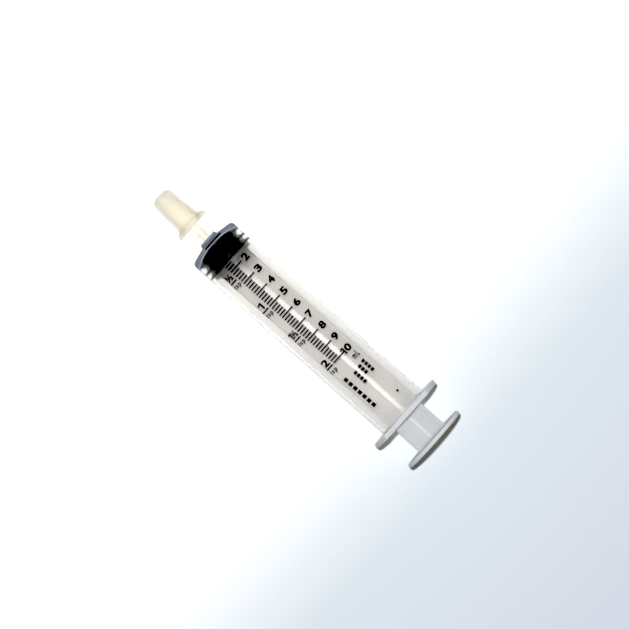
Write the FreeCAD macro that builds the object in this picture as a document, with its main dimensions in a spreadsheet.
"""Oral syringe with a 10 mL scale and a tip cap, as four separate mouldings.

Everything turns about one axis, which lies along X: the tip cap is at -X and the thumb rest at +X. Z is up. The
syringe lies on the rim of its thumb rest, and the origin is under the middle of its length, on that surface.
Each piece is drawn about its own X axis, from a datum face of its own, and its Placement puts it in the assembly.
Sizes are in millimetres.
"""

import FreeCAD, Part
import math
import os
import re

import Sketcher

SIZES = (
    ("overall_length", 112.0, "end of the cap to the back of the thumb rest"),
    # Barrel. Its datum is the small end of the conical front wall.
    ("barrel_length", 80.0, "datum to the back of the finger flange"),
    ("barrel_radius", 8.8, "outside"),
    ("bore_radius", 7.86, "inside, 5.15 mm of travel for each millilitre"),
    ("front_depth", 1.17, "how far the cone of the front wall rises along X"),
    ("front_wall", 0.8, "its thickness along X"),
    ("front_corner", 1.3, "rounding between the front wall and the tube"),
    ("bore_corner", 0.5, "the same, inside"),
    ("collar_radius", 3.3, "where the tip's collar meets the front wall"),
    ("collar_length", 1.05, "collar at the root of the tip"),
    ("tip_root_radius", 2.94, "tip, next to its collar"),
    ("tip_end_radius", 2.28, "tip, at its open end"),
    ("tip_length", 15.45, "collar to open end"),
    ("tip_rounding", 0.3, "rim of the open end"),
    ("lumen_radius", 0.9, "hole through the tip"),
    ("flange_radius", 13.2, "finger flange, across its round ends"),
    ("flange_flat", 9.4, "axis to each of its two flats"),
    ("flange_thickness", 1.6, "along X"),
    ("flange_root", 0.3, "fillet to the tube"),
    ("flange_edge", 0.25, "rounding of its edges"),
    ("lip_radius", 7.70, "low lip in the mouth, which keeps the stopper in"),
    ("lip_length", 0.4, "its crest, along X"),
    ("lip_ramp", 0.45, "slope from the crest down to the bore"),
    ("mouth_chamfer", 0.45, "lead-in behind the lip"),
    # Stopper. Its datum is its front face.
    ("stopper_gap", 0.72, "front face to the front wall at rest, on the face's rim"),
    ("stopper_length", 6.7, "front to back"),
    ("stopper_play", 0.04, "between a rib and the bore"),
    ("face_radius", 5.45, "flat of the front face"),
    ("rib_front", 1.2, "front edge of the first rib"),
    ("rib_back", 2.1, "its back edge"),
    ("groove_front", 2.6, "floor of the first groove"),
    ("groove_back", 3.3, "its end"),
    ("groove_radius", 7.05, "depth of the first groove"),
    ("second_rib_front", 3.95, "front edge of the second rib"),
    ("second_rib_back", 4.7, "its back edge"),
    ("second_groove_front", 4.95, "floor of the second groove"),
    ("second_groove_back", 5.3, "its end"),
    ("second_groove_radius", 7.15, "depth of the second groove"),
    ("third_rib_front", 6.0, "front edge of the third rib"),
    # Socket of the stopper, and the rod's head that snaps into it.
    ("socket_end", 1.9, "front face to the bottom of the socket"),
    ("socket_shoulder", 4.4, "front face to the shoulder that holds the head"),
    ("head_radius", 4.5, "head of the rod"),
    ("head_nose", 0.8, "chamfer on its front"),
    ("neck_radius", 3.0, "neck of the rod"),
    ("head_play", 0.05, "clearance all round the head and neck"),
    # Plunger rod. Its datum is the front of its disc.
    ("disc_radius", 7.45, "disc that pushes the stopper"),
    ("disc_thickness", 1.2, "along X"),
    ("fin_radius", 7.5, "axis to the edge of a fin"),
    ("fin_thickness", 1.1, "of each fin"),
    ("fin_roll", 45.0, "degrees from level to the nearest fin"),
    ("fin_root", 0.9, "fillet in each of the four valleys"),
    ("fin_end", 0.8, "fillet from the fins to the thumb rest"),
    ("thumb_radius", 11.1, "thumb rest"),
    ("thumb_thickness", 1.3, "along X"),
    ("thumb_edge", 0.35, "rounding of its rim"),
    # Tip cap. Its datum is its open end, and it is drawn towards -X.
    ("cap_length", 14.1, "open end to closed end"),
    ("cap_mouth_radius", 4.15, "body, next to the grip disc"),
    ("cap_end_radius", 3.6, "body, at its closed end"),
    ("cap_rounding", 2.4, "rounding of the closed end"),
    ("grip_radius", 5.7, "grip disc"),
    ("grip_rim", 0.9, "its thickness at the rim"),
    ("grip_depth", 2.3, "its thickness at the body"),
    ("grip_edge", 0.35, "rounding of its rim"),
    ("cap_wall", 1.4, "end wall"),
    ("cap_play", 0.04, "between the socket and the tip"),
    ("cap_gap", 5.45, "cap's open end to the tip's collar"),
)
CUT_MARGIN = 1.0  # how far a cut runs past the face it opens
FRONT_SLOPE = "front_depth / (barrel_radius - collar_radius)"


def front_wall_inside(radius):
    """Where the inside of the conical front wall is along X at a radius, from the barrel's datum."""
    return f"front_wall + {FRONT_SLOPE} * ({radius} - collar_radius)"


def tip_radius_at(distance):
    """The tip's radius at a distance from its collar."""
    return f"tip_root_radius - (tip_root_radius - tip_end_radius) * ({distance}) / tip_length"


# Where each piece's datum is along X.
CAP_AT = "cap_length - overall_length / 2"
BARREL_AT = f"{CAP_AT} + cap_gap + collar_length"
STOPPER_AT = f"{BARREL_AT} + {front_wall_inside('face_radius')} + stopper_gap"
ROD_AT = f"{STOPPER_AT} + stopper_length + head_play"
ROD_LENGTH = f"overall_length / 2 - ({ROD_AT})"


def on_sheet(formula):
    """A formula in the sheet's words, as an expression."""
    return re.sub(r"[a-z_]+", lambda word: "Sizes." + word.group(), str(formula))


def value(doc, formula):
    """The number that a formula gives."""
    return float(doc.Sizes.evalExpression(on_sheet(formula)))


def bind(thing, name, formula):
    """Ties a property or a constraint to the sheet."""
    thing.setExpression(name, on_sheet(formula))


def add_sizes(doc):
    sheet = doc.addObject("Spreadsheet::Sheet", "Sizes")
    for row, (word, size, note) in enumerate(SIZES, start=1):
        sheet.set(f"A{row}", str(size))
        sheet.setAlias(f"A{row}", word)
        sheet.set(f"B{row}", note)
    doc.recompute()


def add_body(doc, label, datum):
    """A body whose axis is at the height of the thumb rest's radius, and whose datum is at X = datum."""
    body = doc.addObject("PartDesign::Body", label)
    body.Label = label
    bind(body, "Placement.Base.x", datum)
    bind(body, "Placement.Base.z", "thumb_radius")
    return body


def add_sketch(body, name, plane, along="0", roll="0"):
    """An empty sketch on one of the body's own origin planes, moved along its normal and turned about it."""
    sketch = body.newObject("Sketcher::SketchObject", name)
    origin_plane = [item for item in body.Origin.OriginFeatures if item.Role == plane]
    sketch.AttachmentSupport = [(origin_plane[0], "")]
    sketch.MapMode = "FlatFace"
    bind(sketch, "AttachmentOffset.Base.z", along)
    bind(sketch, "AttachmentOffset.Rotation.Angle", roll)
    return sketch


def hold(sketch, kind, line, point, formula):
    """Holds a point at a distance from the sketch's origin."""
    size = value(sketch.Document, formula)
    number = sketch.addConstraint(Sketcher.Constraint(kind, -1, 1, line, point, size))
    bind(sketch, f"Constraints[{number}]", formula)


def add_outline(body, name, plane, corners, along="0", roll="0"):
    """A closed outline of straight lines. Each corner is a pair of formulas, along and across the sketch."""
    sketch = add_sketch(body, name, plane, along, roll)
    doc = body.Document
    points = [FreeCAD.Vector(value(doc, a), value(doc, b), 0) for a, b in corners]
    ends = points[1:] + points[:1]
    sketch.addGeometry([Part.LineSegment(p, q) for p, q in zip(points, ends)], False)
    for line, (first, second) in enumerate(corners):
        following = (line + 1) % len(corners)
        sketch.addConstraint(Sketcher.Constraint("Coincident", line, 2, following, 1))
        hold(sketch, "DistanceX", line, 1, first)
        hold(sketch, "DistanceY", line, 1, second)
    doc.recompute()
    return sketch


def add_circle(body, name, radius, along):
    """A circle about the X axis."""
    sketch = add_sketch(body, name, "YZ_Plane", along)
    size = value(body.Document, radius)
    circle = Part.Circle(FreeCAD.Vector(0, 0, 0), FreeCAD.Vector(0, 0, 1), size)
    sketch.addGeometry(circle, False)
    sketch.addConstraint(Sketcher.Constraint("Coincident", 0, 3, -1, 1))
    number = sketch.addConstraint(Sketcher.Constraint("Radius", 0, size))
    bind(sketch, f"Constraints[{number}]", radius)
    body.Document.recompute()
    return sketch


def add_flatted_circle(body, name, radius, flat, along):
    """A circle about the X axis with a flat above and a flat below."""
    sketch = add_sketch(body, name, "YZ_Plane", along)
    size = value(body.Document, radius)
    half = value(body.Document, flat)
    reach = math.sqrt(size**2 - half**2)
    rise = math.asin(half / size)
    circle = Part.Circle(FreeCAD.Vector(0, 0, 0), FreeCAD.Vector(0, 0, 1), size)
    right = Part.ArcOfCircle(circle, -rise, rise)
    left = Part.ArcOfCircle(circle, math.pi - rise, math.pi + rise)
    above = Part.LineSegment(FreeCAD.Vector(reach, half, 0), FreeCAD.Vector(-reach, half, 0))
    below = Part.LineSegment(FreeCAD.Vector(-reach, -half, 0), FreeCAD.Vector(reach, -half, 0))
    sketch.addGeometry([right, above, left, below], False)
    for line in range(4):
        following = (line + 1) % 4
        sketch.addConstraint(Sketcher.Constraint("Coincident", line, 2, following, 1))
    for arc in (0, 2):
        sketch.addConstraint(Sketcher.Constraint("Coincident", arc, 3, -1, 1))
    sketch.addConstraint(Sketcher.Constraint("Horizontal", 1))
    sketch.addConstraint(Sketcher.Constraint("Horizontal", 3))
    number = sketch.addConstraint(Sketcher.Constraint("Radius", 0, size))
    bind(sketch, f"Constraints[{number}]", radius)
    hold(sketch, "DistanceY", 1, 1, flat)
    hold(sketch, "DistanceY", 3, 1, f"0 - {flat}")
    body.Document.recompute()
    return sketch


def revolve(body, kind, name, corners):
    """A Revolution or a Groove of an outline of (x, radius) corners about the X axis."""
    sketch = add_outline(body, name + "_outline", "XY_Plane", corners)
    feature = body.newObject("PartDesign::" + kind, name)
    feature.Profile = sketch
    feature.ReferenceAxis = (sketch, ["H_Axis"])
    feature.Angle = 360
    body.Document.recompute()
    return feature


def pad(body, name, sketch, length):
    feature = body.newObject("PartDesign::Pad", name)
    feature.Profile = sketch
    bind(feature, "Length", length)
    body.Document.recompute()
    return feature


def round_edges(body, name, base, radius, is_wanted):
    """Fillets the edges of base that is_wanted picks."""
    edges = base.Shape.Edges
    names = [f"Edge{number}" for number, edge in enumerate(edges, start=1) if is_wanted(edge)]
    if not names:
        raise RuntimeError(f"{name} finds no edge to round")
    feature = body.newObject("PartDesign::Fillet", name)
    feature.Base = (base, names)
    bind(feature, "Radius", radius)
    body.Document.recompute()
    return feature


def near(first, second):
    return abs(first - second) < 1e-3


def ring_at(doc, x, radius):
    """Picks the round edge of this radius about the X axis at this X."""
    place = value(doc, x)
    size = value(doc, radius)

    def is_wanted(edge):
        if not isinstance(edge.Curve, Part.Circle):
            return False
        return near(edge.Curve.Center.x, place) and near(edge.Curve.Radius, size)

    return is_wanted


def distance_from_axis(edge):
    middle = edge.valueAt((edge.FirstParameter + edge.LastParameter) / 2)
    return math.hypot(middle.y, middle.z)


def flat_at(doc, x, least, most):
    """Picks the edges that lie in the plane at this X, between two distances from the axis."""
    place = value(doc, x)
    low, high = value(doc, least), value(doc, most)

    def is_wanted(edge):
        in_plane = near(edge.BoundBox.XMin, place) and near(edge.BoundBox.XMax, place)
        return in_plane and low < distance_from_axis(edge) < high

    return is_wanted


def is_valley(edge):
    """Picks the long edges next to the X axis, where two fins meet."""
    return edge.BoundBox.XLength > 10 and distance_from_axis(edge) < 1


def build_barrel(doc):
    """The clear moulding: tube, conical front wall, oral tip and finger flange."""
    body = add_body(doc, "barrel", BARREL_AT)
    tip_end = "0 - collar_length - tip_length"
    solid = revolve(body, "Revolution", "tube_and_tip", [
        (tip_end, "0"),
        (tip_end, "tip_end_radius"),
        ("0 - collar_length", "tip_root_radius"),
        ("0", "collar_radius"),
        ("front_depth", "barrel_radius"),
        ("barrel_length", "barrel_radius"),
        ("barrel_length", "0"),
    ])
    corner = ring_at(doc, "front_depth", "barrel_radius")
    solid = round_edges(body, "front_rounding", solid, "front_corner", corner)
    rim = ring_at(doc, tip_end, "tip_end_radius")
    round_edges(body, "tip_rim", solid, "tip_rounding", rim)

    flange_front = "barrel_length - flange_thickness"
    disc = add_flatted_circle(body, "flange_outline", "flange_radius", "flange_flat", flange_front)
    solid = pad(body, "finger_flange", disc, "flange_thickness")
    root = ring_at(doc, flange_front, "barrel_radius")
    solid = round_edges(body, "flange_fillet", solid, "flange_root", root)
    for name, face in (("flange_front_edge", flange_front), ("flange_back_edge", "barrel_length")):
        outer = flat_at(doc, face, "barrel_radius + flange_root + flange_edge", "flange_radius + 1")
        solid = round_edges(body, name, solid, "flange_edge", outer)

    lip_back = "barrel_length - mouth_chamfer"
    solid = revolve(body, "Groove", "bore_and_lumen", [
        (f"{tip_end} - {CUT_MARGIN}", "0"),
        (f"{tip_end} - {CUT_MARGIN}", "lumen_radius"),
        (front_wall_inside("lumen_radius"), "lumen_radius"),
        (front_wall_inside("bore_radius"), "bore_radius"),
        (f"{lip_back} - lip_length - lip_ramp", "bore_radius"),
        (f"{lip_back} - lip_length", "lip_radius"),
        (lip_back, "lip_radius"),
        (f"barrel_length + {CUT_MARGIN}", f"lip_radius + mouth_chamfer + {CUT_MARGIN}"),
        (f"barrel_length + {CUT_MARGIN}", "0"),
    ])
    corner = ring_at(doc, front_wall_inside("bore_radius"), "bore_radius")
    round_edges(body, "bore_rounding", solid, "bore_corner", corner)
    return body


def build_stopper(doc):
    """The black rubber stopper: three ribs that lean forwards, and the socket for the rod's head."""
    body = add_body(doc, "plunger_stopper", STOPPER_AT)
    rib = "bore_radius - stopper_play"
    revolve(body, "Revolution", "ribbed_plug", [
        ("0", "0"),
        ("0", "face_radius"),
        ("rib_front", rib),
        ("rib_back", rib),
        ("groove_front", "groove_radius"),
        ("groove_back", "groove_radius"),
        ("second_rib_front", rib),
        ("second_rib_back", rib),
        ("second_groove_front", "second_groove_radius"),
        ("second_groove_back", "second_groove_radius"),
        ("third_rib_front", rib),
        ("stopper_length", rib),
        ("stopper_length", "0"),
    ])
    revolve(body, "Groove", "rod_socket", [
        ("socket_end", "0"),
        ("socket_end", "head_radius + head_play"),
        ("socket_shoulder", "head_radius + head_play"),
        ("socket_shoulder", "neck_radius + head_play"),
        (f"stopper_length + {CUT_MARGIN}", "neck_radius + head_play"),
        (f"stopper_length + {CUT_MARGIN}", "0"),
    ])
    return body


def build_rod(doc):
    """The natural moulding: head, neck, disc, cross-shaped shaft and thumb rest."""
    body = add_body(doc, "plunger_rod", ROD_AT)
    head_back = "socket_shoulder - stopper_length - 2 * head_play"
    head_front = "socket_end - stopper_length"
    revolve(body, "Revolution", "head_neck_and_disc", [
        (head_front, "0"),
        (head_front, "head_radius - head_nose"),
        (f"{head_front} + head_nose", "head_radius"),
        (head_back, "head_radius"),
        (head_back, "neck_radius"),
        ("0", "neck_radius"),
        ("0", "disc_radius"),
        ("disc_thickness", "disc_radius"),
        ("disc_thickness", "0"),
    ])
    side = "fin_thickness / 2"
    edge = "fin_radius"
    minus_side = f"0 - {side}"
    minus_edge = f"0 - {edge}"
    cross = add_outline(body, "fin_outline", "YZ_Plane", [
        (edge, minus_side), (edge, side),
        (side, side), (side, edge), (minus_side, edge),
        (minus_side, side), (minus_edge, side), (minus_edge, minus_side),
        (minus_side, minus_side), (minus_side, minus_edge), (side, minus_edge),
        (side, minus_side),
    ], along="disc_thickness", roll="fin_roll")
    thumb_front = f"{ROD_LENGTH} - thumb_thickness"
    solid = pad(body, "fins", cross, f"{thumb_front} - disc_thickness")
    round_edges(body, "fin_valleys", solid, "fin_root", is_valley)

    rest = add_circle(body, "thumb_outline", "thumb_radius", thumb_front)
    solid = pad(body, "thumb_rest", rest, "thumb_thickness")
    for name, face in (("thumb_front_rim", thumb_front), ("thumb_back_rim", ROD_LENGTH)):
        rim = ring_at(doc, face, "thumb_radius")
        solid = round_edges(body, name, solid, "thumb_edge", rim)
    joins = flat_at(doc, thumb_front, "0", "fin_radius + 1")
    round_edges(body, "fin_ends", solid, "fin_end", joins)
    return body


def build_cap(doc):
    """The natural tip cap: a round-ended body with a grip disc at its mouth and a tapered socket."""
    body = add_body(doc, "tip_cap", CAP_AT)
    solid = revolve(body, "Revolution", "cap_outside", [
        ("0", "0"),
        ("0", "grip_radius"),
        ("0 - grip_rim", "grip_radius"),
        ("0 - grip_depth", "cap_mouth_radius"),
        ("0 - cap_length", "cap_end_radius"),
        ("0 - cap_length", "0"),
    ])
    closed_end = ring_at(doc, "0 - cap_length", "cap_end_radius")
    solid = round_edges(body, "closed_end", solid, "cap_rounding", closed_end)
    for name, face in (("grip_back", "0"), ("grip_front", "0 - grip_rim")):
        rim = ring_at(doc, face, "grip_radius")
        solid = round_edges(body, name, solid, "grip_edge", rim)
    tip_end = "cap_gap - tip_length"
    revolve(body, "Groove", "socket", [
        (f"{CUT_MARGIN}", "0"),
        (f"{CUT_MARGIN}", f"{tip_radius_at(f'cap_gap - {CUT_MARGIN}')} + cap_play"),
        (tip_end, "tip_end_radius + cap_play"),
        ("cap_wall - cap_length", "tip_end_radius + cap_play"),
        ("cap_wall - cap_length", "0"),
    ])
    return body


def check(doc, bodies):
    """Stops unless every object computed and every piece is one valid solid."""
    failed = [item.Name for item in doc.Objects if {"Invalid", "Error"} & set(item.State)]
    if failed:
        raise RuntimeError(f"not computed: {failed}")
    for body in bodies:
        shape = body.Shape
        if shape.isNull() or not shape.isValid() or len(shape.Solids) != 1:
            raise RuntimeError(f"{body.Label} is not one valid solid")
        for feature in body.Group:
            if feature.isDerivedFrom("PartDesign::FeatureAddSub"):
                before = feature.BaseFeature.Shape.Volume if feature.BaseFeature else 0
                if near(feature.Shape.Volume, before):
                    raise RuntimeError(f"{feature.Name} changes nothing")


def main():
    doc = FreeCAD.newDocument("oral_syringe")
    add_sizes(doc)
    bodies = [build_barrel(doc), build_stopper(doc), build_rod(doc), build_cap(doc)]
    doc.recompute()
    check(doc, bodies)
    os.makedirs("parts", exist_ok=True)
    for body in bodies:
        body.Shape.exportStep(f"parts/{body.Label}.step")
        box = body.Shape.BoundBox
        print(f"{body.Label}: {body.Shape.Volume:.1f} mm3, x {box.XMin:.2f} to {box.XMax:.2f}")


main()
